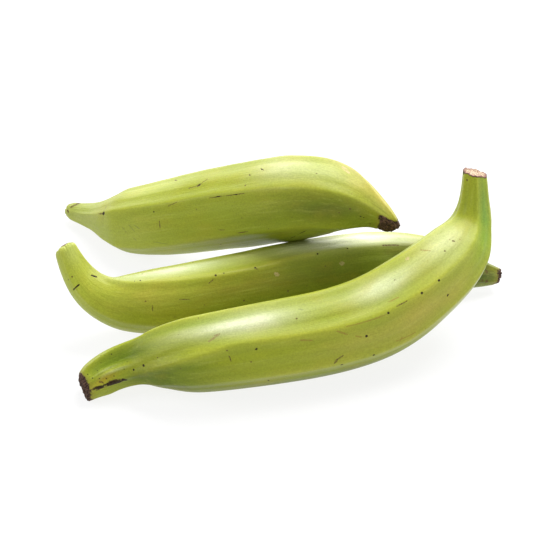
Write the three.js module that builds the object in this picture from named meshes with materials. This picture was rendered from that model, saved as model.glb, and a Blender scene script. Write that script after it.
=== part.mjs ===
// Three green plantains (cooking bananas) lying together in a small heap.
//
// Each fruit grew as one piece, so each is one closed solid: a woody stem with a cut end, a
// five-ridged body and a dry blossom tip. The middle fruit lies on the ground. The front
// fruit lies along it, with its stem end raised over the middle fruit's tip. The rear fruit
// has its stem end on the ground and leans its body on the middle fruit.
//
// Millimetres, +Z up, +X along the heap. The origin is on the ground under the middle of
// the heap's bounding box.

import * as THREE from 'three';

// ---------------------------------------------------------------------------------------
// Driving dimensions
// ---------------------------------------------------------------------------------------

const RING_COUNT = 48; // cross-sections along a fruit
const STEPS_PER_FACET = 5; // points from one ridge to the next
const SPINE_SAMPLES = 600; // fine samples used to space the rings evenly
const FLATNESS = 0.5; // 0 is a round section, 1 has flat facets between its ridges
const SETTLE = 0.8; // each fruit sinks this far, and the ground presses its skin flat

const SKIN = { roughness: 0.48, metalness: 0 };

// spine  - centre line from the stem cut to the blossom tip
// girth  - [percent of the length, half width across the ridges]
// ridges - ridge angles in degrees around the spine: 90 is up, and 0 is the side that
//          tangent x up points to
const PLANTAINS = {
  middle_plantain: {
    color: '#9fa84a',
    spine: [
      [-115.6, -46, 50],
      [-106.4, -53, 34],
      [-96, -56, 26],
      [-72, -54, 21],
      [-32, -45, 20.5],
      [13, -32.5, 21.5],
      [47, -24.5, 21.8],
      [82, -16, 18.5],
      [106, -12.5, 13.5],
      [128, -11, 8.5],
    ],
    girth: [
      [0, 6.6],
      [4, 8.2],
      [8, 10.2],
      [12, 12.4],
      [18, 16.6],
      [26, 19.5],
      [40, 21.4],
      [55, 22],
      [68, 22],
      [82, 18.4],
      [91, 11.6],
      [97, 7.4],
      [100, 5],
    ],
    ridges: [70, 138, 211, 285, 351],
  },

  rear_plantain: {
    color: '#a6b552',
    spine: [
      [-128, 62, 7],
      [-110, 49, 10.5],
      [-86, 32, 18.5],
      [-51, 15.5, 34],
      [-21, 2.5, 48.3],
      [7, -12.5, 62.7],
      [30, -23.5, 70.2],
      [47.5, -29, 68.2],
      [56, -31.5, 64.4],
      [64, -32, 56.5],
    ],
    girth: [
      [0, 4.6],
      [1.5, 6],
      [4, 6.9],
      [10, 9.8],
      [17, 16],
      [23, 20.8],
      [41, 23.8],
      [56, 24.8],
      [71, 25],
      [82, 22],
      [89, 16],
      [95, 8.8],
      [100, 4.8],
    ],
    ridges: [45, 108, 196, 277, 345],
  },

  front_plantain: {
    color: '#aab450',
    spine: [
      [107.5, -23, 86],
      [107.5, -27, 74],
      [106.5, -31, 62],
      [99, -42, 49.5],
      [80, -58.5, 38.5],
      [56, -72.5, 28.5],
      [23, -86, 24.5],
      [-15, -96, 23.5],
      [-46, -101, 21.5],
      [-78, -101, 16],
      [-97.5, -107.5, 9.7],
      [-102.8, -111.5, 7.4],
    ],
    girth: [
      [0, 7.4],
      [5, 9.2],
      [10, 13],
      [17, 20.6],
      [26, 24.2],
      [38, 26.2],
      [51, 25.6],
      [66, 24.6],
      [76, 22.8],
      [83, 18.2],
      [88, 13.8],
      [93, 12.4],
      [97, 10.6],
      [100, 8],
    ],
    ridges: [84, 141, 191, 256, 345],
  },
};

// ---------------------------------------------------------------------------------------
// Curves
// ---------------------------------------------------------------------------------------

// Second derivatives of the natural cubic spline through (xs, ys).
function naturalCurvature(xs, ys) {
  const last = xs.length - 1;
  const curvature = new Array(xs.length).fill(0);
  const upper = new Array(xs.length).fill(0);
  for (let i = 1; i < last; i++) {
    const before = xs[i] - xs[i - 1];
    const after = xs[i + 1] - xs[i];
    const bend = (ys[i + 1] - ys[i]) / after - (ys[i] - ys[i - 1]) / before;
    const pivot = 2 * (before + after) - before * upper[i - 1];
    upper[i] = after / pivot;
    curvature[i] = (6 * bend - before * curvature[i - 1]) / pivot;
  }
  for (let i = last - 1; i > 0; i--) {
    curvature[i] -= upper[i] * curvature[i + 1];
  }
  return curvature;
}

// Index of the span of xs that holds x.
function spanOf(xs, x) {
  let span = 0;
  while (span < xs.length - 2 && x > xs[span + 1]) span++;
  return span;
}

// Smooth function through (xs, ys), with no bend at its two ends.
function naturalSpline(xs, ys) {
  const curvature = naturalCurvature(xs, ys);
  return (x) => {
    const i = spanOf(xs, x);
    const width = xs[i + 1] - xs[i];
    const a = (xs[i + 1] - x) / width;
    const b = (x - xs[i]) / width;
    const bend = (a ** 3 - a) * curvature[i] + (b ** 3 - b) * curvature[i + 1];
    return a * ys[i] + b * ys[i + 1] + (bend * width ** 2) / 6;
  };
}

// Smooth function through (xs, ys) that never overshoots its points.
function monotoneSpline(xs, ys) {
  const last = xs.length - 1;
  const rise = (i) => (ys[i + 1] - ys[i]) / (xs[i + 1] - xs[i]);
  const slopes = xs.map((_, i) => {
    if (i === 0) return rise(0);
    if (i === last) return rise(last - 1);
    if (rise(i - 1) * rise(i) <= 0) return 0;
    const before = xs[i] - xs[i - 1];
    const after = xs[i + 1] - xs[i];
    const weightBefore = 2 * after + before;
    const weightAfter = after + 2 * before;
    return (weightBefore + weightAfter) / (weightBefore / rise(i - 1) + weightAfter / rise(i));
  });
  return (x) => {
    const i = spanOf(xs, x);
    const width = xs[i + 1] - xs[i];
    const t = (x - xs[i]) / width;
    const start = (1 + 2 * t) * (1 - t) ** 2 * ys[i] + t * (1 - t) ** 2 * width * slopes[i];
    const end = t * t * (3 - 2 * t) * ys[i + 1] + t * t * (t - 1) * width * slopes[i + 1];
    return start + end;
  };
}

// Points evenly spaced along the smooth curve through the spine's points.
function evenSpine(points, count) {
  const knots = [0];
  for (let i = 1; i < points.length; i++) {
    knots.push(knots[i - 1] + Math.hypot(...points[i].map((value, k) => value - points[i - 1][k])));
  }
  const axes = [0, 1, 2].map((k) => naturalSpline(knots, points.map((point) => point[k])));
  const end = knots[knots.length - 1];
  const fine = Array.from({ length: SPINE_SAMPLES }, (_, i) => {
    const t = (end * i) / (SPINE_SAMPLES - 1);
    return new THREE.Vector3(...axes.map((axis) => axis(t)));
  });
  const travelled = [0];
  for (let i = 1; i < fine.length; i++) {
    travelled.push(travelled[i - 1] + fine[i].distanceTo(fine[i - 1]));
  }
  const length = travelled[travelled.length - 1];
  return Array.from({ length: count }, (_, i) => {
    const target = (length * i) / (count - 1);
    const span = spanOf(travelled, target);
    const share = (target - travelled[span]) / (travelled[span + 1] - travelled[span]);
    return fine[span].clone().lerp(fine[span + 1], share);
  });
}

// Side and up directions square to the spine at each ring. Up starts as near to +Z as the
// middle ring allows and is carried to both ends without twisting.
function ringFrames(centres) {
  const tangents = centres.map((_, i) => {
    const ahead = centres[Math.min(i + 1, centres.length - 1)];
    const behind = centres[Math.max(i - 1, 0)];
    return ahead.clone().sub(behind).normalize();
  });
  const squared = (up, tangent) => up.clone().addScaledVector(tangent, -up.dot(tangent)).normalize();
  const middle = Math.floor(centres.length / 2);
  const ups = new Array(centres.length);
  ups[middle] = squared(new THREE.Vector3(0, 0, 1), tangents[middle]);
  for (let i = middle + 1; i < centres.length; i++) ups[i] = squared(ups[i - 1], tangents[i]);
  for (let i = middle - 1; i >= 0; i--) ups[i] = squared(ups[i + 1], tangents[i]);
  return ups.map((up, i) => ({ up, side: tangents[i].clone().cross(up) }));
}

// ---------------------------------------------------------------------------------------
// Shapes
// ---------------------------------------------------------------------------------------

// The section's points as [angle, share of the half width]: full width on the ridges, and a
// blend of a circle and a flat facet between them.
function ridgedSection(ridges) {
  const section = [];
  ridges.forEach((ridge, i) => {
    const next = i + 1 < ridges.length ? ridges[i + 1] : ridges[0] + 360;
    const start = THREE.MathUtils.degToRad(ridge);
    const half = THREE.MathUtils.degToRad(next - ridge) / 2;
    for (let step = 0; step < STEPS_PER_FACET; step++) {
      const turn = (2 * half * step) / STEPS_PER_FACET;
      const facet = Math.cos(half) / Math.cos(turn - half);
      section.push([start + turn, 1 - FLATNESS + FLATNESS * facet]);
    }
  });
  return section;
}

// A closed skin of rings along the spine, with a fan of triangles over each end.
function plantainGeometry({ spine, girth, ridges }) {
  const centres = evenSpine(spine, RING_COUNT);
  const frames = ringFrames(centres);
  const halfWidth = monotoneSpline(girth.map(([percent]) => percent), girth.map(([, width]) => width));
  const section = ridgedSection(ridges);
  const around = section.length;

  const positions = [];
  centres.forEach((centre, ring) => {
    const width = halfWidth((100 * ring) / (RING_COUNT - 1));
    section.forEach(([angle, share]) => {
      const point = centre.clone();
      point.addScaledVector(frames[ring].side, width * share * Math.cos(angle));
      point.addScaledVector(frames[ring].up, width * share * Math.sin(angle));
      positions.push(point.x, point.y, Math.max(point.z - SETTLE, 0));
    });
  });
  const stemCentre = RING_COUNT * around;
  const tipCentre = stemCentre + 1;
  for (const centre of [centres[0], centres[RING_COUNT - 1]]) {
    positions.push(centre.x, centre.y, centre.z - SETTLE);
  }

  const indices = [];
  for (let ring = 0; ring < RING_COUNT - 1; ring++) {
    for (let step = 0; step < around; step++) {
      const next = (step + 1) % around;
      const here = ring * around;
      const ahead = here + around;
      indices.push(here + step, ahead + step, ahead + next);
      indices.push(here + step, ahead + next, here + next);
    }
  }
  const tipRing = (RING_COUNT - 1) * around;
  for (let step = 0; step < around; step++) {
    const next = (step + 1) % around;
    indices.push(stemCentre, step, next);
    indices.push(tipCentre, tipRing + next, tipRing + step);
  }

  const geometry = new THREE.BufferGeometry();
  geometry.setAttribute('position', new THREE.Float32BufferAttribute(positions, 3));
  geometry.setIndex(indices);
  geometry.computeVertexNormals();
  return geometry;
}

// ---------------------------------------------------------------------------------------
// The heap
// ---------------------------------------------------------------------------------------

const heap = new THREE.Group();
for (const [name, plantain] of Object.entries(PLANTAINS)) {
  const skin = new THREE.MeshStandardMaterial({ color: plantain.color, ...SKIN });
  const mesh = new THREE.Mesh(plantainGeometry(plantain), skin);
  mesh.name = name;
  heap.add(mesh);
}

// The heap's bounding box is centred over the origin; its heights stay as given.
const middle = new THREE.Box3().setFromObject(heap).getCenter(new THREE.Vector3());
heap.position.set(-middle.x, -middle.y, 0);

export default heap;
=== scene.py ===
"""Looks for a heap of three green plantains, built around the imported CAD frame.

Each fruit is one fine mesh swept along the same centre line and girth as its CAD solid, with
the rounded ridges, grooves, crowned facets, torn stem and dry blossom tip that the plain
solid leaves out. Lengths in the tables are millimetres; Blender objects are in metres.
"""

import math

import bpy
import numpy as np
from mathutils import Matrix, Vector


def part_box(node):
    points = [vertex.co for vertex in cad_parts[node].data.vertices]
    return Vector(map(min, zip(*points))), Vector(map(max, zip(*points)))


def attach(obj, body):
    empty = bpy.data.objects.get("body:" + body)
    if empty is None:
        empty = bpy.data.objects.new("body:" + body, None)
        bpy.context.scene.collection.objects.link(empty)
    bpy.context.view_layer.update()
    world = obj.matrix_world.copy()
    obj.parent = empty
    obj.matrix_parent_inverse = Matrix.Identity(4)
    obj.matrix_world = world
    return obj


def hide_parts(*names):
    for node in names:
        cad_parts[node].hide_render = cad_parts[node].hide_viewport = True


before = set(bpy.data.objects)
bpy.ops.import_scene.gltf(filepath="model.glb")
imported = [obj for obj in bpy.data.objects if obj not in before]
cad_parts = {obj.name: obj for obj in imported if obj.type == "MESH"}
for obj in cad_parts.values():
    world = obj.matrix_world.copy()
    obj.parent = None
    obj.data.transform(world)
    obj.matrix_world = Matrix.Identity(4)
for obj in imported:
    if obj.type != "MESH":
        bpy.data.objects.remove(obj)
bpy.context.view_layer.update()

MM = 0.001
BODY = "root"

# ----------------------------------------------------------------------------------------
# Fruit dimensions, in millimetres and degrees
# ----------------------------------------------------------------------------------------

SETTLE = 0.8          # each fruit sinks this far, and the ground presses its skin flat
FLATNESS = 0.5        # 0 is a round section, 1 has flat facets between its ridges
RINGS = 300           # rings along the body
AROUND = 280          # points around each ring
CAP_RINGS = 16        # rings that close each end
END_DENSITY = 0.45    # ring spacing at the two ends, as a share of the middle's
END_REACH = 0.12      # share of the length over which the spacing changes
SPINE_SAMPLES = 1200  # fine samples used to measure along a centre line

# spine  - centre line from the stem cut to the blossom tip
# girth  - (percent of the length, half width across the ridges)
# ridges - each ridge's path as (percent, angle): 90 is up, 0 is the side that tangent x up
#          points to
# crests - how much each ridge stands out, as a share of a full rib
# tilt   - slant of the stem cut and of the tip: (rise in mm at one side, angle of that side)
# domes  - how far the stem cut and the tip bulge, in mm; negative for a hollow
# fold   - how far the peel closes over the stem cut, in mm
# dry    - where the dry blossom end starts around the tip, as (angle, percent)
# dents  - hollows and swellings: (percent, angle, half length %, half width deg, height mm)
# tints  - soft patches of colour: (percent, angle, half length %, half width deg, colour, share). Some
# are the skin's own colour; many are painted highlights, painted reflections of the white floor and
# backdrop, and painted shade in grooves, hollows and on undersides
# marks  - (kind, percent, angle, percent, angle, half thickness mm), from one end to the other
# seed   - gives the fruit its own unevenness and skin pattern
FRUITS = {
    "middle_plantain": {
        "spine": [
            (-115.6, -46, 50), (-106.4, -53, 34), (-96, -56, 26), (-72, -54, 21), (-32, -45, 20.5),
            (13, -32.5, 21.5), (47, -24.5, 21.8), (82, -16, 18.5), (106, -12.5, 13.5), (128, -11, 8.5),
        ],
        "girth": [
            (0, 6.6), (4, 8.2), (8, 10.2), (12, 12.4), (18, 16.6), (26, 19.5), (40, 21.4), (55, 22),
            (68, 22), (82, 18.4), (91, 11.6), (97, 7.4), (100, 5),
        ],
        "ridges": [
            [(0, 98), (5, 108), (9, 104), (13, 92), (17, 80), (23, 72), (36, 66), (45, 65), (55, 71),
             (64, 73), (76, 73), (100, 80)],
            [(0, 160), (20, 140), (48, 134), (62, 122), (80, 122), (100, 135)],
            [(0, 215), (50, 210), (100, 215)],
            [(0, 290), (50, 284), (100, 290)],
            [(0, 360), (20, 352), (50, 350), (100, 358)],
        ],
        "crests": [0.7, 0.6, 0.4, 0.4, 0.5],
        "tilt": [(1.4, 75), (0.8, 60)],
        "domes": (3.4, -0.6),
        "fold": 4.2,
        "dry": [(0, 99.5), (60, 99.2), (110, 99.8), (180, 99.6), (290, 99.2)],
        "dents": [],
        "tints_and_painted_light": [
            # painted shade: #5c6818 and #4f5a12 here and #3a4309 below darken the front facet where the
            # front fruit shades it
            (60, 35, 20, 42, "#5c6818", 0.75), (78, 55, 6, 30, "#4f5a12", 0.5),
            (40, 38, 13, 22, "#7f7420", 0.8), (77, 50, 8, 30, "#3a4309", 0.8),
            (22, 45, 9, 30, "#b6ac48", 0.5), (6, 40, 8, 100, "#b4ba45", 0.6),
            # painted highlight and reflection of the white surroundings on the top facet: #dfe5c4,
            # #cdd27a and #fafbe6; painted shade where the rear fruit lies on the top facet: #9aa12e
            (28, 104, 13, 18, "#dfe5c4", 0.75), (50, 104, 6, 14, "#9aa12e", 0.2),
            (44, 104, 5, 14, "#cdd27a", 0.4), (66, 98, 12, 18, "#fafbe6", 0.9),
            # painted shade: #36450c on the front of the blossom end
            (95, 40, 7, 120, "#36450c", 1.0), (0, 60, 3, 60, "#b9c26a", 0.6),
        ],
        "marks": [
            ("scar", 7.2, 76, 8.4, 84, 0.6), ("scar", 7.2, 342, 7.0, 12, 0.4),
            ("brown", 22.4, 29, 22.4, 19, 0.3), ("dot", 20.2, 80, 20.2, 80, 0.65),
            ("dot", 18.8, 80, 18.8, 80, 0.45), ("dot", 36.1, 66, 36.1, 66, 0.72),
            ("dot", 37.8, 67, 37.8, 67, 0.45), ("dot", 44.5, 66, 44.5, 66, 0.65),
            ("dot", 58.3, 71, 58.3, 71, 0.59), ("dot", 64.7, 73, 64.7, 73, 0.45),
            ("brown", 59.5, 51, 59.5, 51, 0.45), ("brown", 72, 72, 75.2, 72, 0.45),
            ("brown", 34.4, 56, 35.4, 60, 0.25), ("brown", 96.4, 47, 96.6, 40, 0.9),
            ("brown", 97, 2, 96.8, 356, 0.9), ("brown", 95.8, 4, 96, 0, 0.5),
            ("pale", 48.5, 52, 48.9, 50, 1.1), ("pale", 62.9, 52, 63.2, 51, 1.2),
            ("brown", 28, 36, 30, 34, 0.2), ("brown", 50.5, 20, 50.6, 22, 0.4),
        ],
        "seed": 3.1,
    },
    "rear_plantain": {
        "spine": [
            (-128, 62, 7), (-110, 49, 10.5), (-86, 32, 18.5), (-51, 15.5, 34), (-21, 2.5, 48.3),
            (7, -12.5, 62.7), (30, -23.5, 70.2), (47.5, -29, 68.2), (56, -31.5, 64.4), (64, -32, 56.5),
        ],
        "girth": [
            (0, 4.6), (1.5, 6), (4, 6.9), (10, 9.8), (17, 16), (23, 20.8), (41, 23.8), (56, 24.8),
            (71, 25), (82, 22), (89, 16), (95, 8.8), (100, 4.8),
        ],
        "ridges": [
            [(0, 34), (6, 38), (11, 44), (20, 48), (30, 49), (40, 47), (55, 46), (66, 43), (77, 42),
             (85, 42), (91, 40), (95, 35), (100, 34)],
            [(0, 105), (25, 112), (60, 105), (75, 104), (82, 108), (86, 108), (90, 92), (93, 80),
             (96, 72), (100, 67)],
            [(0, 190), (60, 198), (80, 195), (90, 175), (100, 150)],
            [(0, 275), (60, 278), (80, 276), (90, 262), (100, 240)],
            [(0, 342), (60, 345), (80, 342), (90, 325), (100, 300)],
        ],
        "crests": [0.8, 0.5, 0.4, 0.4, 0.4],
        "tilt": [(0.8, 60), (0.9, 105)],
        "domes": (2.2, -0.8),
        "fold": 6.0,
        "dry": [
            (0, 95.6), (20, 95), (34, 94.8), (44, 96.8), (70, 98.6), (105, 98.8), (180, 98), (290, 97),
            (328, 96.4),
        ],
        "dents": [(58, 292, 6, 22, 0.7), (69, 288, 4, 16, 0.8)],
        "tints_and_painted_light": [
            # painted highlight and reflection on the top facet: #e4e6b4
            (76, 76, 9, 20, "#e4e6b4", 0.65), (93, 84, 6, 30, "#c2b258", 0.8),
            (89, 84, 3, 20, "#b5a850", 0.5), (86, 116, 4, 14, "#e0bc98", 0.6),
            # painted shade: #4f5b18 and #6f7a22 on the lower front facets, #75801c and #5d6a20 on the
            # underside
            (84, 12, 9, 24, "#4f5b18", 0.9), (70, 0, 12, 26, "#6f7a22", 0.5),
            (62, 305, 26, 22, "#75801c", 0.7), (92, 340, 6, 40, "#5d6a20", 0.6),
            (32, 85, 12, 20, "#c4ca62", 0.4), (7, 40, 8, 90, "#a8ae6c", 0.6),
            (60, 75, 8, 12, "#a9ad38", 0.4), (28, 10, 8, 30, "#a3a850", 0.35),
        ],
        "marks": [
            ("brown", 54.5, 42, 58.6, 41.5, 0.2), ("scar", 56.4, 42, 58, 42, 0.18),
            ("brown", 59.5, 41, 65.9, 40, 0.18), ("scar", 62.4, 40.6, 63.6, 40.4, 0.2),
            ("brown", 49.4, 67, 50.2, 69, 0.75), ("brown", 46.6, 66, 49.4, 67, 0.3),
            ("brown", 50.4, 70, 52, 77, 0.25), ("dot", 49.8, 68, 50, 68, 0.52),
            ("brown", 40.1, 97, 40.8, 94, 0.5), ("dot", 68.9, 76, 68.9, 76, 0.59),
            ("brown", 68.3, 79, 69.6, 74, 0.3), ("brown", 65.9, 68, 66.2, 68, 0.4),
            ("dot", 36.5, 38, 36.5, 38, 0.52), ("dot", 91.4, 4, 91.4, 4, 0.5),
            ("dot", 92.1, 2, 92.1, 2, 0.42), ("scar", 18.7, 46, 19.3, 46, 1.0),
            ("brown", 16.4, 46, 18.7, 46, 0.4), ("ring", 18.9, 50, 18.2, 66, 0.35),
            ("ring", 18.8, 44, 18.4, 20, 0.3), ("brown", 37.7, 23, 37.5, 13, 0.35),
            ("green", 26, 20, 29.2, 357, 0.35), ("green", 28.2, 24, 29.6, 12, 0.3),
            ("green", 30, 22, 31.2, 16, 0.3), ("green", 34, 352, 38, 346, 0.25),
            ("brown", 60.5, 348, 63.6, 348, 0.25), ("brown", 54.9, 356, 56.7, 355, 0.2),
            ("scar", 72.4, 314, 78.6, 332, 0.4), ("brown", 41.2, 42, 44, 45, 0.2),
            ("brown", 1.6, 64, 3.2, 104, 0.9), ("brown", 0.8, 40, 1.4, 30, 0.7),
            ("pale", 85, 98, 86.2, 92, 1.0), ("brown", 45, 340, 45.4, 338, 0.25),
        ],
        "seed": 7.4,
    },
    "front_plantain": {
        "spine": [
            (107.5, -23, 86), (107.5, -27, 74), (106.5, -31, 62), (99, -42, 49.5), (80, -58.5, 38.5),
            (56, -72.5, 28.5), (23, -86, 24.5), (-15, -96, 23.5), (-46, -101, 21.5),
            (-78, -101, 16), (-97.5, -107.5, 9.7), (-102.8, -111.5, 7.4),
        ],
        "girth": [
            (0, 7.4), (5, 9.2), (10, 13), (17, 20.6), (26, 24.2), (38, 26.2), (51, 25.6), (66, 24.6),
            (76, 22.8), (83, 18.2), (88, 13.8), (93, 12.4), (97, 10.6), (100, 8),
        ],
        "ridges": [
            [(0, 82), (20, 84), (80, 84), (88, 92), (95, 98), (100, 98)],
            [(0, 138), (5, 143), (12, 144), (27, 144), (36, 141), (58, 140), (68, 138), (73, 142),
             (78, 150), (84, 163), (89, 176), (94, 180), (100, 170)],
            [(0, 190), (20, 189), (50, 187), (70, 186), (80, 190), (90, 215), (100, 225)],
            [(0, 258), (50, 256), (80, 258), (90, 275), (100, 285)],
            [(0, 343), (50, 345), (80, 345), (90, 352), (100, 360)],
        ],
        "crests": [1.0, 1.3, 0.8, 0.4, 0.6],
        "tilt": [(1.6, 20), (2.6, 225)],
        "domes": (-0.7, -1.3),
        "fold": 0.0,
        "dry": [(0, 99.4), (90, 99.4), (125, 99), (160, 99.2), (215, 99.6), (290, 99.4)],
        "dents": [
            (90.5, 124, 4.6, 22, -2.7), (94.6, 150, 2.2, 7, 0.9), (93, 136, 2.2, 4, 0.7),
            (18, 108, 6, 30, 0.5), (97, 118, 1.4, 22, -0.6), (96.5, 250, 2.4, 45, 1.2),
            (95.4, 140, 2, 4, 0.7), (91, 148, 2.4, 6, 0.5), (93.6, 160, 3, 5, -0.5),
        ],
        "tints_and_painted_light": [
            # painted shade: #4a5c0c on the underside of the neck
            (82, 192, 10, 30, "#4a5c0c", 0.85), (32, 168, 12, 18, "#b3a24c", 0.7),
            # painted highlights: #ecefd0 here, #e8eab8 and #e0e5bc below, #d5dd96 on the bumps near the
            # tip
            (46, 164, 10, 14, "#aca34a", 0.45), (67, 110, 11, 14, "#ecefd0", 0.85),
            # painted shade: #869026, #8b9a24 and #9aa430 dim the top facet between its highlights;
            # #4a6410 below the second ridge
            (47, 98, 9, 18, "#869026", 0.4), (47, 128, 12, 8, "#8b9a24", 0.5),
            (20, 110, 6, 24, "#e8eab8", 0.55), (37, 110, 8, 14, "#e0e5bc", 0.75),
            (51, 108, 7, 15, "#9aa430", 0.45), (86, 182, 6, 14, "#4a6410", 0.6),
            (94, 139, 2.5, 4, "#d5dd96", 0.6), (92.5, 152, 3, 4, "#d5dd96", 0.6),
            # painted shade: #51680e, #5f7610 and #62760f in the hollow near the tip; #7c921e in the
            # groove under the first ridge
            (90, 124, 4, 14, "#51680e", 0.6), (90, 118, 7, 20, "#5f7610", 0.85),
            (74, 97, 12, 6, "#7c921e", 0.55), (9, 168, 9, 20, "#6c963c", 0.85),
            # painted shade: #525c08 along the underside, #56680e below the second ridge
            (55, 225, 34, 26, "#525c08", 0.85), (96, 162, 3.2, 11, "#b3942c", 0.6),
            (78, 162, 4, 7, "#56680e", 0.75), (82, 171, 4, 8, "#56680e", 0.8),
            (86, 181, 3.5, 8, "#56680e", 0.7), (94, 124, 3, 12, "#62760f", 0.7),
            # painted reflection of the white floor along the lower edge: #f4f6ea
            (23, 222, 8, 14, "#f4f6ea", 0.9),
        ],
        "marks": [
            ("scar", 98.8, 172, 91.2, 184, 0.7), ("scar", 95.6, 180, 92.4, 183, 1.25),
            ("scar", 91.6, 180, 90.8, 185, 0.8), ("brown", 97, 163, 96.4, 169, 0.5),
            ("scar", 98.2, 176, 97, 180, 0.8), ("brown", 98.4, 182, 92, 188, 0.5),
            ("brown", 95, 174, 92, 178, 0.45), ("dot", 96.6, 154, 96.6, 154, 0.35),
            ("dot", 95.2, 164, 95.2, 164, 0.4), ("dot", 93.2, 166, 93.2, 166, 0.35),
            ("dot", 97.8, 140, 97.8, 140, 0.4), ("dot", 96, 128, 96, 128, 0.35),
            ("dot", 98.2, 118, 98.2, 118, 0.35), ("dot", 94.6, 112, 94.6, 112, 0.3),
            ("dot", 92, 104, 92, 104, 0.3), ("dot", 90.4, 158, 90.4, 158, 0.35),
            ("dot", 89.4, 140, 89.4, 140, 0.3), ("dot", 88.3, 164, 88.3, 164, 0.65),
            ("dot", 85.8, 156, 85.8, 156, 0.78), ("tan", 73.5, 128, 71.6, 121, 0.45),
            ("tan", 72.4, 121, 71.5, 120, 0.35), ("green", 55.9, 105, 55.3, 107, 0.5),
            ("brown", 70.5, 151, 70.3, 159, 0.25), ("dot", 65.5, 148, 65.5, 148, 0.65),
            ("dot", 39.1, 142.5, 39.1, 142.5, 0.78), ("dot", 44.7, 160, 44.7, 160, 0.78),
            ("dot", 43.9, 188, 43.9, 188, 0.72), ("dot", 49.9, 190, 49.9, 190, 0.78),
            ("dot", 63.5, 202, 63.5, 202, 0.59), ("dot", 30.9, 143.5, 30.9, 143.5, 0.78),
            ("dot", 26.9, 144.5, 26.9, 144.5, 0.72), ("dot", 26.9, 170, 26.7, 169, 0.42),
            ("brown", 51.3, 184, 50.7, 180, 0.5), ("brown", 50.6, 180, 49.6, 177, 0.35),
            ("ochre", 48.3, 141.5, 39.6, 143, 0.3), ("ochre", 43, 142.5, 39.8, 143, 0.35),
            ("brown", 36.9, 140, 34.3, 141, 0.3), ("ochre", 37.8, 131, 35.2, 132, 0.35),
            ("ochre", 57.1, 146, 54.9, 149, 0.45), ("ochre", 50.1, 144, 48.3, 151, 0.45),
            ("ochre", 46.7, 156, 45.7, 159, 0.4), ("ochre", 39.3, 181, 35.4, 183, 0.25),
            ("ochre", 38.6, 183, 38, 180, 0.35), ("brown", 18.7, 117, 18.5, 119, 0.6),
            ("ochre", 18.8, 112, 18.8, 112, 0.5), ("ochre", 17.2, 124, 17.2, 124, 0.5),
            ("ochre", 25.1, 95, 24, 105, 0.45), ("ochre", 24.6, 98, 26.1, 117, 0.18),
            ("pale", 28.1, 94, 28.5, 94, 0.9), ("brown", 1.2, 96, 1.2, 96, 0.6),
            ("dot", 0.2, 62, 0.2, 70, 0.9), ("ochre", 1.6, 74, 1.6, 74, 0.7),
            ("brown", 33.5, 110, 33.8, 111, 0.3), ("brown", 94, 96, 94, 96, 0.45),
        ],
        "seed": 1.7,
    },
}

RIB_HEIGHT = 0.014      # how far a ridge's rounded rib stands out, as a share of the half width
RIB_WIDTH = 5.0         # degrees
GROOVE_DEPTH = 0.021    # the shallow groove on each side of a rib
GROOVE_OFFSET = 14.0    # degrees from the ridge to its grooves
GROOVE_WIDTH = 7.0      # degrees
CORNER_SOFTNESS = 3.2   # degrees over which the facets' corners are rounded
LUMP_HEIGHT = 0.25      # slow unevenness of the skin, in millimetres
FLUTE_HEIGHT = 0.035    # faint lengthwise flutes, in millimetres
CUT_FADE = 3.0          # percent of the length over which the slant of a cut fades out
CRUMPLE = 0.45          # unevenness of the dry ends, in millimetres
CRUMPLE_LENGTH = 1.3    # size of one crumple along the fruit, in millimetres
CRUMPLE_ARC = 16        # size of one crumple around the fruit, in degrees
CRUMPLE_SEED = 23
DRY_SHRINK = 0.25       # how far the dry skin sinks below the living skin, in millimetres
CUT_ARC = 24            # size of one lump around a cut face, in degrees
CUT_SEEDS = {"stem": 5, "tip": 6}
CUT_LUMP = 0.06         # height of the lumps on a cut face, as a share of its radius
END_RELIEF = 0.45       # ribs and lumps at the two ends, as a share of the body's
NOISE_ROWS = 400        # cells of noise along a fruit, more than any fruit needs

# Skin colours, as seen in daylight
SKIN_GREEN = "#969d28"
RIB_YELLOW = "#b2b43e"
RIB_SHARE = 0.45        # how strongly the ribs are yellower than the facets
RIB_COLOUR_WIDTH = 5.5  # degrees


# ----------------------------------------------------------------------------------------
# Curves
# ----------------------------------------------------------------------------------------

def natural_spline(knots, values, at):
    """Natural cubic spline through (knots, values), read at the positions in at."""
    knots, values, at = (np.asarray(a, float) for a in (knots, values, at))
    widths = np.diff(knots)
    count = len(knots)
    system = np.eye(count)
    bends = np.zeros(count)
    slopes = np.diff(values) / widths
    for i in range(1, count - 1):
        system[i, i - 1:i + 2] = widths[i - 1], 2 * (widths[i - 1] + widths[i]), widths[i]
        bends[i] = 6 * (slopes[i] - slopes[i - 1])
    curvature = np.linalg.solve(system, bends)
    i = np.clip(np.searchsorted(knots, at) - 1, 0, count - 2)
    width = widths[i]
    a = (knots[i + 1] - at) / width
    b = (at - knots[i]) / width
    bend = (a**3 - a) * curvature[i] + (b**3 - b) * curvature[i + 1]
    return a * values[i] + b * values[i + 1] + bend * width**2 / 6


def monotone_spline(points, at):
    """Smooth curve through points, a list of (x, y), that never overshoots them."""
    x, y = np.array(points, float).T
    widths = np.diff(x)
    rises = np.diff(y) / widths
    slopes = np.zeros(len(x))
    slopes[0], slopes[-1] = rises[0], rises[-1]
    for i in range(1, len(x) - 1):
        if rises[i - 1] * rises[i] > 0:
            before, after = 2 * widths[i] + widths[i - 1], widths[i] + 2 * widths[i - 1]
            slopes[i] = (before + after) / (before / rises[i - 1] + after / rises[i])
    i = np.clip(np.searchsorted(x, at) - 1, 0, len(x) - 2)
    t = (at - x[i]) / widths[i]
    start = (1 + 2 * t) * (1 - t)**2 * y[i] + t * (1 - t)**2 * widths[i] * slopes[i]
    end = t**2 * (3 - 2 * t) * y[i + 1] + t**2 * (t - 1) * widths[i] * slopes[i + 1]
    return start + end


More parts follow.
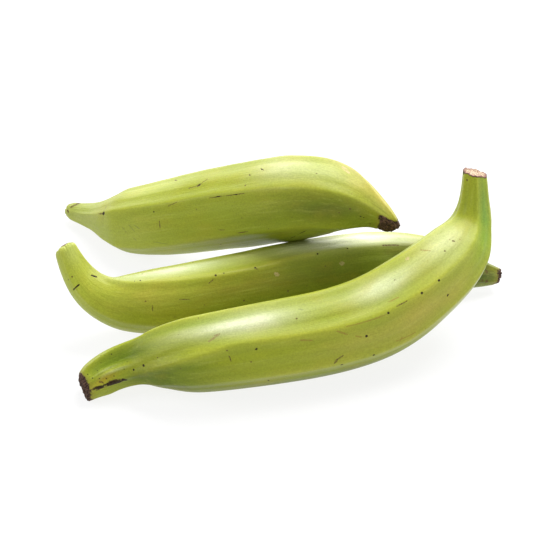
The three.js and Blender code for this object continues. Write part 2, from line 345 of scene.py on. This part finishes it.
def smooth_step(low, high, x):
    """0 below low, 1 above high, and a smooth rise between."""
    t = np.clip((x - low) / (high - low), 0, 1)
    return t * t * (3 - 2 * t)


def bell(x, width):
    """1 at 0, falling smoothly to almost nothing at twice the width."""
    return np.exp(-(x / width)**2)


def ring_percents():
    """Ring positions in percent of the length, closer together near both ends."""
    t = np.linspace(0, 1, RINGS)
    inside = smooth_step(0, END_REACH, t) * smooth_step(0, END_REACH, 1 - t)
    spacing = END_DENSITY + (1 - END_DENSITY) * inside
    along = np.concatenate([[0], np.cumsum((spacing[1:] + spacing[:-1]) / 2)])
    return 100 * along / along[-1]


def spine_frames(spine, percents):
    """Centre, tangent, side and up directions at each percent of the spine's length, and
    that length. Up starts as near to +Z as the middle allows and is carried to both ends."""
    spine = np.array(spine, float)
    knots = np.concatenate([[0], np.cumsum(np.linalg.norm(np.diff(spine, axis=0), axis=1))])
    fine = np.linspace(0, knots[-1], SPINE_SAMPLES)
    curve = np.stack([natural_spline(knots, spine[:, k], fine) for k in range(3)], axis=1)
    travelled = np.concatenate([[0], np.cumsum(np.linalg.norm(np.diff(curve, axis=0), axis=1))])
    length = travelled[-1]
    at = np.interp(percents / 100 * length, travelled, fine)
    centres = np.stack([natural_spline(knots, spine[:, k], at) for k in range(3)], axis=1)
    tangents = np.gradient(centres, percents, axis=0)
    tangents /= np.linalg.norm(tangents, axis=1)[:, None]
    ups = np.zeros_like(centres)
    middle = int(np.argmin(abs(percents - 50)))
    for order in (range(middle, len(percents)), range(middle, -1, -1)):
        carried = np.array([0.0, 0.0, 1.0])
        for i in order:
            carried = carried - carried.dot(tangents[i]) * tangents[i]
            carried = carried / np.linalg.norm(carried)
            ups[i] = carried
    return centres, tangents, np.cross(tangents, ups), ups, length


# ----------------------------------------------------------------------------------------
# Fruit surface
# ----------------------------------------------------------------------------------------

def wrapped(angle):
    """The same angle between -180 and 180 degrees."""
    return (angle + 180) % 360 - 180


def facet_shares(angles, paths):
    """Flat-sided section between the ridges, as a share of the half width. angles is one
    ring's points; paths has a column for each ridge."""
    ridges = np.sort(paths % 360, axis=1)
    following = np.roll(ridges, -1, axis=1)
    following[:, -1] += 360
    shares = np.ones((len(paths), len(angles)))
    for k in range(ridges.shape[1]):
        start, end = ridges[:, k:k + 1], following[:, k:k + 1]
        turn = (angles[None, :] - start) % 360
        half = (end - start) / 2
        flat = np.cos(np.radians(half)) / np.cos(np.radians(turn - half))
        shares = np.where(turn < end - start, flat, shares)
    return shares


def soften_around(values, degrees):
    """Gaussian blur around each ring."""
    frequencies = np.fft.rfftfreq(values.shape[1], 1 / values.shape[1])
    keep = np.exp(-0.5 * (frequencies * math.radians(degrees))**2)
    return np.fft.irfft(np.fft.rfft(values, axis=1) * keep, values.shape[1], axis=1)


def lumps(percents, angles, seed):
    """Slow unevenness between -1 and 1: a few waves along and around the fruit."""
    p = percents[:, None] / 100 * 2 * math.pi
    a = np.radians(angles)[None, :]
    waves = 0.45 * np.sin(2.3 * p + seed) * np.cos(2 * a + 2 * seed)
    waves = waves + 0.35 * np.sin(4.1 * p + 5 * seed) * np.cos(3 * a - seed)
    waves = waves + 0.20 * np.sin(7.7 * p + 3 * seed) * np.cos(5 * a + 4 * seed)
    return waves + 0.15 * np.sin(13 * p + 2 * seed) * np.cos(7 * a - 3 * seed)


def flutes(percents, angles, seed):
    """Fine lengthwise flutes that wander a little around the fruit."""
    drift = 6 * np.sin(percents / 31 + seed)[:, None] + 3 * np.sin(percents / 11 + 2 * seed)[:, None]
    a = np.radians(angles[None, :] + drift)
    return 0.5 * np.sin(23 * a + seed) + 0.3 * np.sin(37 * a + 3 * seed) + 0.2 * np.sin(59 * a)


def value_noise(rows, columns, seed, period):
    """Smooth noise between -1 and 1 on a grid of unit cells, repeating every period columns."""
    rng = np.random.default_rng(seed)
    cells = int(math.ceil(period))
    grid = rng.uniform(-1, 1, (NOISE_ROWS, cells))
    rows = rows - rows.min()
    columns = columns * cells / period
    i, j = np.floor(rows).astype(int), np.floor(columns).astype(int)
    v, u = (rows - i)[:, None], (columns - j)[None, :]
    v, u = v * v * (3 - 2 * v), u * u * (3 - 2 * u)
    low = grid[i][:, j % cells] * (1 - u) + grid[i][:, (j + 1) % cells] * u
    high = grid[i + 1][:, j % cells] * (1 - u) + grid[i + 1][:, (j + 1) % cells] * u
    return low * (1 - v) + high * v


def ragged_edge(angles, seed):
    """Torn outline of a stem cut, in millimetres along the stem."""
    a = np.radians(angles)
    coarse = 0.22 * np.sin(5 * a + seed) + 0.16 * np.sin(11 * a + 2 * seed)
    return coarse + 0.12 * np.sin(19 * a + 3 * seed)


def around_ring(table, angles):
    """Smooth closed curve through (angle, value) pairs, read at the angles of a ring."""
    closed = [(a - 360, v) for a, v in table[-2:]] + table + [(a + 360, v) for a, v in table[:2]]
    return monotone_spline(closed, angles)


def fruit_surface(fruit):
    """Points of the body's rings in millimetres, with the measures that close_end and
    add_attributes need."""
    percents = ring_percents()
    angles = np.arange(AROUND) * 360 / AROUND
    centres, tangents, sides, ups, length = spine_frames(fruit["spine"], percents)
    widths = monotone_spline(fruit["girth"], percents)
    paths = np.stack([monotone_spline(path, percents) for path in fruit["ridges"]], axis=1)

    facets = 1 - FLATNESS + FLATNESS * facet_shares(angles, paths)
    shares = soften_around(facets, CORNER_SOFTNESS)
    body = smooth_step(0, 10, percents) * smooth_step(0, 5, 100 - percents)
    relief = (END_RELIEF + (1 - END_RELIEF) * body)[:, None]
    for k, crest in enumerate(fruit["crests"]):
        away = wrapped(angles[None, :] - paths[:, k:k + 1])
        rib = RIB_HEIGHT * bell(away, RIB_WIDTH)
        groove = GROOVE_DEPTH * bell(abs(away) - GROOVE_OFFSET, GROOVE_WIDTH)
        shares = shares + crest * relief * (rib - groove)

    reach = widths[:, None] * shares
    reach = reach + LUMP_HEIGHT * lumps(percents, angles, fruit["seed"]) * relief
    reach = reach + FLUTE_HEIGHT * flutes(percents, angles, fruit["seed"])
    for percent, angle, half_length, half_width, height in fruit["dents"]:
        near = bell(percents - percent, half_length)[:, None]
        reach = reach + height * near * bell(wrapped(angles - angle), half_width)[None, :]

    dry = (percents[:, None] - around_ring(fruit["dry"], angles)[None, :]) * length / 100
    crumple_rows = percents * length / 100 / CRUMPLE_LENGTH
    crumple = CRUMPLE * value_noise(crumple_rows, angles / CRUMPLE_ARC, CRUMPLE_SEED, 360 / CRUMPLE_ARC)
    reach = reach + (crumple - DRY_SHRINK) * smooth_step(-0.4, 1.2, dry)

    turn = np.radians(angles)
    out = np.cos(turn)[None, :, None] * sides[:, None, :]
    out = out + np.sin(turn)[None, :, None] * ups[:, None, :]
    points = centres[:, None, :] + reach[:, :, None] * out

    for (rise, toward), from_end, way in zip(fruit["tilt"], (percents, 100 - percents), (-1, 1)):
        slant = rise * np.cos(np.radians(angles - toward)) + ragged_edge(angles, fruit["seed"] + way)
        fade = np.clip(1 - from_end / CUT_FADE, 0, 1)**1.5
        points += (way * fade[:, None] * slant[None, :])[:, :, None] * tangents[:, None, :]
    return {
        "points": points, "percents": percents, "angles": angles, "dry": dry,
        "widths": widths, "tangents": tangents, "length": length, "paths": paths,
    }


def close_end(surface, end, dome):
    """Rings that close one end, from the rim inwards, and the end's centre point."""
    last = 0 if end == "stem" else -1
    rim = surface["points"][last]
    outward = surface["tangents"][last] * (-1 if end == "stem" else 1)
    centre = rim.mean(axis=0)
    radius = np.linalg.norm(rim - centre, axis=1).mean()
    inward = np.arange(1, CAP_RINGS + 1) / (CAP_RINGS + 1)
    if dome > 0:
        profile = dome * np.sqrt(1 - (1 - inward)**2)
    else:
        profile = 0.05 * radius * bell(inward - 0.12, 0.1) + dome * smooth_step(0.15, 0.6, inward)
    lumpy = value_noise(inward * 7, surface["angles"] / CUT_ARC, CUT_SEEDS[end], 360 / CUT_ARC)
    lumpy = CUT_LUMP * radius * lumpy * np.sin(math.pi * inward)[:, None]
    rings = centre + (rim - centre)[None] * (1 - inward)[:, None, None]
    rings = rings + (profile[:, None] + lumpy)[:, :, None] * outward
    return rings, centre + profile[-1] * outward


def settle(points):
    """Lowers the fruit a little and presses flat what would be under the ground."""
    low = points[..., 2] - SETTLE
    points[..., 2] = np.maximum(low, 0)
    return points


def build_mesh(name, fruit, shift):
    """One closed fruit as a Blender object, moved by shift, in millimetres."""
    surface = fruit_surface(fruit)
    stem_rings, stem_centre = close_end(surface, "stem", fruit["domes"][0])
    tip_rings, tip_centre = close_end(surface, "tip", fruit["domes"][1])
    rings = np.concatenate([stem_rings[::-1], surface["points"], tip_rings])
    count = len(rings)
    points = np.concatenate([rings.reshape(-1, 3), stem_centre[None], tip_centre[None]])
    points = settle(points) + shift

    first = np.arange(count - 1)[:, None] * AROUND
    step = np.arange(AROUND)[None, :]
    here, beside = first + step, first + (step + 1) % AROUND
    quads = np.stack([here, here + AROUND, beside + AROUND, beside], axis=-1).reshape(-1, 4)
    faces = quads.tolist()
    stem, tip = count * AROUND, count * AROUND + 1
    tip_ring = (count - 1) * AROUND
    for i in range(AROUND):
        j = (i + 1) % AROUND
        faces.append([stem, i, j])
        faces.append([tip, tip_ring + j, tip_ring + i])

    mesh = bpy.data.meshes.new(name)
    mesh.from_pydata((points * MM).tolist(), [], faces)
    mesh.update()
    mesh.shade_smooth()

    add_attributes(mesh, fruit, surface)
    piece = bpy.data.objects.new(name, mesh)
    bpy.context.scene.collection.objects.link(piece)
    return piece


def add_attributes(mesh, fruit, surface):
    """Point data that the materials read.

    straight - the point's place on the fruit unbent along x, in millimetres
    ends     - millimetres past the start of the stem cut, and of the dry tip
    tint     - skin colour, with painted highlights, reflections and shade laid into it
    """
    angles, percents, length = surface["angles"], surface["percents"], surface["length"]
    inward = np.arange(1, CAP_RINGS + 1) / (CAP_RINGS + 1)
    turn = np.radians(angles)
    spokes = np.stack([np.zeros(AROUND), np.cos(turn), np.sin(turn)], axis=1)

    def place(along, radius):
        """Rings of the unbent fruit at the distances along, each with its own radius."""
        rings = radius[:, None, None] * spokes[None]
        rings[:, :, 0] = along[:, None]
        return rings

    stem_radius, tip_radius = surface["widths"][0], surface["widths"][-1]
    body = place(percents * length / 100, surface["widths"])
    stem = place(np.zeros(CAP_RINGS), stem_radius * (1 - inward))[::-1]
    tip = place(np.full(CAP_RINGS, length), tip_radius * (1 - inward))
    straight = np.concatenate([stem, body, tip]).reshape(-1, 3)
    straight = np.concatenate([straight, [[0, 0, 0], [length, 0, 0]]])

    near = np.zeros((len(percents), AROUND))
    for k, crest in enumerate(fruit["crests"]):
        away = wrapped(angles[None, :] - surface["paths"][:, k:k + 1])
        near = np.maximum(near, (0.4 + 0.6 * crest) * bell(away, RIB_COLOUR_WIDTH))
    ends = np.zeros((len(percents), AROUND, 3))
    ends[..., 0] = -percents[:, None] * length / 100 - fruit["fold"]
    ends[..., 1] = surface["dry"]
    stem_ends = np.repeat(ends[:1], CAP_RINGS, 0)
    stem_ends[..., 0] += (stem_radius * inward[::-1])[:, None]
    tip_ends = np.repeat(ends[-1:], CAP_RINGS, 0)
    tip_ends[..., 1] += (tip_radius * inward)[:, None]
    ends = np.concatenate([stem_ends, ends, tip_ends])
    centres = [[stem_radius, -length, 0], [-length, tip_radius + 3, 0]]
    ends = np.concatenate([ends.reshape(-1, 3), centres])

    tint_and_painted_light = np.ones((len(percents), AROUND, 4)) * linear(SKIN_GREEN)
    share = (RIB_SHARE * near)[..., None]
    tint_and_painted_light = tint_and_painted_light * (1 - share) + share * np.array(linear(RIB_YELLOW))
    # Soft patches: some are the skin's own colour, many are painted highlights, painted reflections and
    # painted shade
    for percent, angle, half_length, half_width, code, share in fruit["tints_and_painted_light"]:
        patch = bell(percents - percent, half_length)[:, None]
        patch = patch * bell(wrapped(angles - angle), half_width)[None, :]
        patch = (share * patch)[..., None]
        tint_and_painted_light = tint_and_painted_light * (1 - patch) + patch * np.array(linear(code))
    stem_tints = np.repeat(tint_and_painted_light[:1], CAP_RINGS, 0)
    tip_tints = np.repeat(tint_and_painted_light[-1:], CAP_RINGS, 0)
    tint_and_painted_light = np.concatenate([stem_tints, tint_and_painted_light, tip_tints])
    tint_and_painted_light = np.concatenate([tint_and_painted_light.reshape(-1, 4), [linear(SKIN_GREEN)] * 2])

    for name, kind, field, values in (
        ("straight", "FLOAT_VECTOR", "vector", straight),
        ("ends", "FLOAT_VECTOR", "vector", ends),
        ("tint_and_painted_light", "FLOAT_COLOR", "color", tint_and_painted_light),
    ):
        attribute = mesh.attributes.new(name, kind, "POINT")
        attribute.data.foreach_set(field, values.astype(np.float32).ravel())


def frame_shift():
    """The move, in millimetres, from the tables' origin to the CAD frame's."""
    gaps = []
    for name, fruit in FRUITS.items():
        points = fruit_surface(fruit)["points"].reshape(-1, 3)
        low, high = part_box(name)
        wanted = (np.array(low) + np.array(high)) / 2 / MM
        gaps.append(wanted - (points.min(axis=0) + points.max(axis=0)) / 2)
    shift = np.mean(gaps, axis=0)
    return np.array([shift[0], shift[1], 0.0])


# ----------------------------------------------------------------------------------------
# Materials
# ----------------------------------------------------------------------------------------

def linear(code):
    """A hex colour as linear RGBA."""
    channels = [int(code[k:k + 2], 16) / 255 for k in (1, 3, 5)]
    return tuple(c / 12.92 if c <= 0.04045 else ((c + 0.055) / 1.055)**2.4 for c in channels) + (1.0,)


class Graph:
    """Short names for building a node tree."""

    def __init__(self, tree):
        self.nodes, self.links = tree.nodes, tree.links

    def put(self, value, socket):
        """Sets a socket to a number or colour, or links it to another socket."""
        if isinstance(value, bpy.types.NodeSocket):
            self.links.new(value, socket)
        elif value is not None:
            socket.default_value = value

    def attribute(self, name, output):
        node = self.nodes.new("ShaderNodeAttribute")
        node.attribute_name = name
        return node.outputs[output]

    def math(self, operation, a, b=None, clamp=False):
        node = self.nodes.new("ShaderNodeMath")
        node.operation = operation
        node.use_clamp = clamp
        self.put(a, node.inputs[0])
        self.put(b, node.inputs[1])
        return node.outputs[0]

    def vector(self, operation, a, b=None):
        node = self.nodes.new("ShaderNodeVectorMath")
        node.operation = operation
        self.put(a, node.inputs[0])
        self.put(b, node.inputs[1])
        return node.outputs["Value" if operation in ("DOT_PRODUCT", "LENGTH") else "Vector"]

    def split(self, vector):
        node = self.nodes.new("ShaderNodeSeparateXYZ")
        self.put(vector, node.inputs[0])
        return node.outputs

    def ramp(self, value, low, high, start=0.0, end=1.0):
        """A smooth rise from start to end as value goes from low to high."""
        node = self.nodes.new("ShaderNodeMapRange")
        node.interpolation_type = "SMOOTHSTEP"
        for socket, setting in zip(node.inputs[:5], (value, low, high, start, end)):
            self.put(setting, socket)
        return node.outputs[0]

    def noise(self, place, scale, detail=3.0, roughness=0.55, output="Fac"):
        node = self.nodes.new("ShaderNodeTexNoise")
        self.put(place, node.inputs["Vector"])
        node.inputs["Scale"].default_value = scale
        node.inputs["Detail"].default_value = detail
        node.inputs["Roughness"].default_value = roughness
        return node.outputs[output]

    def cells(self, place, scale):
        node = self.nodes.new("ShaderNodeTexVoronoi")
        self.put(place, node.inputs["Vector"])
        node.inputs["Scale"].default_value = scale
        return node.outputs["Distance"], node.outputs["Color"]

    def mix(self, share, a, b):
        """The colour a, with share of it replaced by the colour b."""
        node = self.nodes.new("ShaderNodeMix")
        node.data_type = "RGBA"
        node.clamp_factor = True
        self.put(share, node.inputs[0])
        self.put(a, node.inputs[6])
        self.put(b, node.inputs[7])
        return node.outputs[2]

    def mix_value(self, share, a, b):
        """The number a, with share of it replaced by the number b."""
        node = self.nodes.new("ShaderNodeMix")
        node.clamp_factor = True
        self.put(share, node.inputs[0])
        self.put(a, node.inputs[2])
        self.put(b, node.inputs[3])
        return node.outputs[0]

    def scale_colour(self, colour, factor):
        node = self.nodes.new("ShaderNodeVectorMath")
        node.operation = "SCALE"
        self.put(colour, node.inputs[0])
        self.put(factor, node.inputs["Scale"])
        return node.outputs["Vector"]

    def bump(self, height, distance, strength=1.0, normal=None):
        node = self.nodes.new("ShaderNodeBump")
        node.inputs["Strength"].default_value = strength
        node.inputs["Distance"].default_value = distance
        self.put(height, node.inputs["Height"])
        self.put(normal, node.inputs["Normal"])
        return node.outputs[0]


def mark_group():
    """Node group for one mark on the skin: a tapered stroke from one point to another.

    It returns the larger of Under and the stroke's own mask, so that marks can be chained.
    """
    tree = bpy.data.node_groups.new("mark", "ShaderNodeTree")
    for name, kind in (
        ("Place", "NodeSocketVector"), ("From", "NodeSocketVector"), ("Reach", "NodeSocketVector"),
        ("Inverse", "NodeSocketFloat"), ("Half", "NodeSocketFloat"), ("Under", "NodeSocketFloat"),
    ):
        tree.interface.new_socket(name, in_out="INPUT", socket_type=kind)
    tree.interface.new_socket("Mask", in_out="OUTPUT", socket_type="NodeSocketFloat")
    given = tree.nodes.new("NodeGroupInput").outputs
    result = tree.nodes.new("NodeGroupOutput")
    graph = Graph(tree)
    offset = graph.vector("SUBTRACT", given["Place"], given["From"])
    along = graph.vector("DOT_PRODUCT", offset, given["Reach"])
    share = graph.math("MULTIPLY", along, given["Inverse"], clamp=True)
    away = graph.vector("SUBTRACT", offset, graph.scale_colour(given["Reach"], share))
    distance = graph.math("DIVIDE", graph.vector("LENGTH", away), given["Half"])
    swell = graph.math("MULTIPLY", graph.math("SUBTRACT", 1.0, share), share)
    edge = graph.math("ADD", 0.9, graph.math("MULTIPLY", swell, 1.2))
    mask = graph.ramp(graph.math("DIVIDE", distance, edge), 0.8, 1.2, 1.0, 0.0)
    graph.put(graph.math("MAXIMUM", mask, given["Under"]), result.inputs[0])
    return tree


# kind - (colour, share of the skin it hides, how much of that is left where it is faintest,
#         whether it is sunk into the skin)
MARK_KINDS = {
    "pale": ("#d3b48e", 0.5, 0.35, False),
    "green": ("#5f6a3a", 0.55, 0.35, False),
    "ochre": ("#8a6f2b", 0.75, 0.35, False),
    "tan": ("#8d7350", 0.8, 0.35, False),
    "ring": ("#55472a", 0.55, 0.35, False),
    "brown": ("#573823", 0.95, 0.35, True),
    "scar": ("#240b09", 1.0, 0.9, True),
    "dot": ("#240a0a", 1.0, 0.9, True),
}
MARK_WOBBLE = 0.8       # how far a mark strays from its straight stroke, in millimetres
SHORTEST_MARK = 0.01    # least squared length of a mark, in square millimetres


def straight_place(fruit, length, percent, angle):
    """A point of the skin on the unbent fruit, as in the straight attribute."""
    width = float(monotone_spline(fruit["girth"], np.array([percent]))[0])
    turn = math.radians(angle)
    return Vector((percent * length / 100, width * math.cos(turn), width * math.sin(turn)))


def skin_material(name, fruit, marker):
    """Waxy green skin with fibres, mottling, specks and marks, a torn stem cut and a dry tip."""
    material = bpy.data.materials.new(name)
    material.use_nodes = True
    graph = Graph(material.node_tree)
    shader = material.node_tree.nodes["Principled BSDF"]
    seed = fruit["seed"]
    length = float(spine_frames(fruit["spine"], np.linspace(0, 100, 200))[4])

    place = graph.vector("ADD", graph.attribute("straight", "Vector"), (40 * seed, 0, 0))
    stretched = graph.vector("MULTIPLY", place, (0.05, 1.0, 1.0))
    ends = graph.split(graph.attribute("ends", "Vector"))
    stem_past, tip_past = ends[0], ends[1]

    # Living skin, over the tint attribute, which carries painted highlights, reflections and shade
    fibres = graph.noise(stretched, 0.55, 3.0, 0.6)
    blotches = graph.noise(graph.vector("MULTIPLY", place, (0.5, 1.0, 1.0)), 0.075, 3.0, 0.6)
    mottle = graph.noise(place, 1.1, 4.0, 0.65)
    colour = graph.attribute("tint_and_painted_light", "Color")
    colour = graph.mix(graph.ramp(blotches, 0.35, 0.7, 0.0, 0.35), colour, linear("#87992c"))
    colour = graph.mix(graph.ramp(blotches, 0.5, 0.25, 0.0, 0.3), colour, linear("#a39c34"))
    colour = graph.mix(graph.ramp(fibres, 0.5, 0.8, 0.0, 0.25), colour, linear("#b8bd58"))
    colour = graph.mix(graph.ramp(fibres, 0.5, 0.2, 0.0, 0.25), colour, linear("#78831d"))
    tone = graph.ramp(mottle, 0.25, 0.75, 0.86, 1.12)
    colour = graph.scale_colour(colour, tone)

    # Specks: few on the body, more towards the tip
    spots, spot_kind = graph.cells(place, 0.19)
    chance = graph.split(spot_kind)[0]
    wear = graph.ramp(tip_past, -36.0, -6.0, 0.16, 0.7)
    chosen = graph.math("LESS_THAN", chance, wear)
    size = graph.math("MULTIPLY", graph.split(spot_kind)[1], 0.055)
    speck = graph.ramp(graph.math("SUBTRACT", spots, size), 0.04, 0.085, 0.8, 0.0)
    speck = graph.math("MULTIPLY", speck, chosen)
    colour = graph.mix(speck, colour, linear("#5c4424"))

    # Marks
    wobble = graph.vector("SUBTRACT", graph.noise(place, 0.9, 3.0, 0.7, "Color"), (0.5, 0.5, 0.5))
    stray = graph.scale_colour(wobble, MARK_WOBBLE)
    wobbly = graph.vector("ADD", graph.attribute("straight", "Vector"), stray)
    blemish = 0.0
    for kind, (code, cover, faintest, sunken) in MARK_KINDS.items():
        strokes = [mark[1:] for mark in fruit["marks"] if mark[0] == kind]
        if not strokes:
            continue
        under = 0.0
        for percent, angle, last_percent, last_angle, half in strokes:
            start = straight_place(fruit, length, percent, angle)
            reach = straight_place(fruit, length, last_percent, last_angle) - start
            node = graph.nodes.new("ShaderNodeGroup")
            node.node_tree = marker
            graph.put(wobbly, node.inputs["Place"])
            graph.put(tuple(start), node.inputs["From"])
            graph.put(tuple(reach), node.inputs["Reach"])
            graph.put(1 / max(reach.length_squared, SHORTEST_MARK), node.inputs["Inverse"])
            graph.put(half, node.inputs["Half"])
            graph.put(under, node.inputs["Under"])
            under = node.outputs["Mask"]
        covered = graph.ramp(mottle, 0.4, 0.58, cover * faintest, cover)
        share = graph.math("MULTIPLY", under, covered)
        colour = graph.mix(share, colour, linear(code))
        if sunken:
            blemish = graph.math("MAXIMUM", blemish, share)

    # Stem cut: a thin brown edge of peel, then pale fibrous flesh
    grain = graph.noise(place, 0.8, 4.0, 0.7)
    torn = graph.math("ADD", stem_past, graph.ramp(grain, 0.3, 0.7, -0.35, 0.35))
    cut = graph.ramp(torn, -0.55, -0.15)
    strands = graph.ramp(graph.noise(place, 1.4, 4.0, 0.7), 0.42, 0.6)
    flesh = graph.mix(strands, linear("#eedcbc"), linear("#b48a74"))
    flesh = graph.mix(graph.ramp(torn, 0.9, 2.2), linear("#a57f72"), flesh)
    flesh = graph.mix(graph.ramp(torn, 0.1, 0.7), linear("#76564a"), flesh)
    colour = graph.mix(cut, colour, flesh)

    # Dry blossom end
    frayed = graph.math("ADD", tip_past, graph.ramp(grain, 0.25, 0.75, -0.8, 0.8))
    dry = graph.ramp(frayed, -0.25, 0.3)
    streaks = graph.ramp(graph.noise(stretched, 1.6, 4.0, 0.7), 0.4, 0.68)
    husk = graph.mix(streaks, linear("#33231f"), linear("#7d5f4c"))
    colour = graph.mix(graph.ramp(frayed, -3.0, 0.0, 0.0, 0.45), colour, linear("#86752f"))
    colour = graph.mix(dry, colour, husk)
    graph.put(colour, shader.inputs["Base Color"])

    # Waxy surface
    dead = graph.math("MAXIMUM", cut, dry)
    satin = graph.ramp(graph.noise(stretched, 0.8, 2.0, 0.5), 0.3, 0.7, 0.38, 0.48)
    dull = graph.math("MAXIMUM", dead, graph.math("MULTIPLY", blemish, 0.6))
    graph.put(graph.mix_value(dull, satin, 0.85), shader.inputs["Roughness"])
    shader.inputs["IOR"].default_value = 1.46
    shader.inputs["Specular IOR Level"].default_value = 0.2
    shader.inputs["Coat Weight"].default_value = 0.04
    shader.inputs["Coat Roughness"].default_value = 0.3

    # Relief: fibres, pores, sunken blemishes, crumpled ends
    fine = graph.bump(graph.noise(stretched, 1.5, 4.0, 0.6), 0.00022, 0.55)
    pores = graph.bump(mottle, 0.00015, 0.5, fine)
    pitted = graph.bump(graph.math("SUBTRACT", 1.0, blemish), 0.0003, 0.6, pores)
    rough = graph.math("MULTIPLY", graph.noise(stretched, 1.3, 5.0, 0.75), dead)
    graph.put(graph.bump(rough, 0.0016, 0.9, pitted), shader.inputs["Normal"])
    return material


# ----------------------------------------------------------------------------------------
# Scene
# ----------------------------------------------------------------------------------------

shift = frame_shift()
marker = mark_group()
for name, fruit in FRUITS.items():
    piece = build_mesh(name.replace("_plantain", "_fruit"), fruit, shift)
    piece.data.materials.append(skin_material(name + "_skin", fruit, marker))
    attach(piece, BODY)
    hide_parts(name)

# Floor
FLOOR_SIZE = 6            # metres
FLOOR_DROP = 0.2 * MM     # keeps the floor clear of the pressed skin
FLOOR_GREY = 0.14
FLOOR_GLOW = 0.84         # lifts the floor to white without washing out the fruit
bpy.ops.mesh.primitive_plane_add(size=FLOOR_SIZE, location=(0, 0, -FLOOR_DROP))
floor = bpy.context.object
floor.name = "floor"
floor_look = bpy.data.materials.new("floor_white")
floor_look.use_nodes = True
floor_shader = floor_look.node_tree.nodes["Principled BSDF"]
floor_shader.inputs["Base Color"].default_value = (FLOOR_GREY, FLOOR_GREY, FLOOR_GREY, 1)
floor_shader.inputs["Roughness"].default_value = 0.9
floor_shader.inputs["Emission Color"].default_value = (1, 1, 1, 1)
floor_shader.inputs["Emission Strength"].default_value = FLOOR_GLOW
floor.data.materials.append(floor_look)

# Light
DAYLIGHT = 0.38           # strength of the even light from all round
scene = bpy.context.scene
world = bpy.data.worlds.new("studio")
scene.world = world
world.use_nodes = True
world.node_tree.nodes["Background"].inputs["Color"].default_value = (1, 1, 1, 1)
world.node_tree.nodes["Background"].inputs["Strength"].default_value = DAYLIGHT


def area_light(name, place, target, size, power):
    """A rectangular soft light at place, in metres, turned towards target."""
    light = bpy.data.lights.new(name, "AREA")
    light.shape = "RECTANGLE"
    light.size, light.size_y = size
    light.energy = power
    holder = bpy.data.objects.new(name, light)
    holder.location = place
    holder.rotation_euler = (Vector(target) - Vector(place)).to_track_quat("-Z", "Y").to_euler()
    scene.collection.objects.link(holder)


area_light("softbox_top", (0.3, 0.45, 0.95), (0, 0, 0), (0.9, 0.7), 17.5)
area_light("backdrop", (0.1, 1.4, 0.4), (0, 0, 0.05), (2.8, 0.9), 23)
area_light("side_fill", (1.3, -0.7, 0.5), (0, 0, 0.03), (0.8, 0.8), 7)
area_light("left_fill", (-1.2, -0.3, 0.8), (0, 0, 0.03), (0.7, 0.7), 9)

# Camera
VIEW_ELEVATION = 35       # degrees above the floor
VIEW_DISTANCE = 910 * MM
VIEW_LENS = 100
camera_data = bpy.data.cameras.new("camera")
camera_data.lens = VIEW_LENS
camera = bpy.data.objects.new("camera", camera_data)
target = Vector(((shift + np.array([0, 0, -SETTLE])) * MM).tolist())
rise = math.radians(VIEW_ELEVATION)
camera.location = target + VIEW_DISTANCE * Vector((0, -math.cos(rise), math.sin(rise)))
camera.rotation_euler = (math.radians(90 - VIEW_ELEVATION), 0, 0)
scene.collection.objects.link(camera)
scene.camera = camera

scene.view_settings.view_transform = "Standard"
scene.view_settings.look = "None"
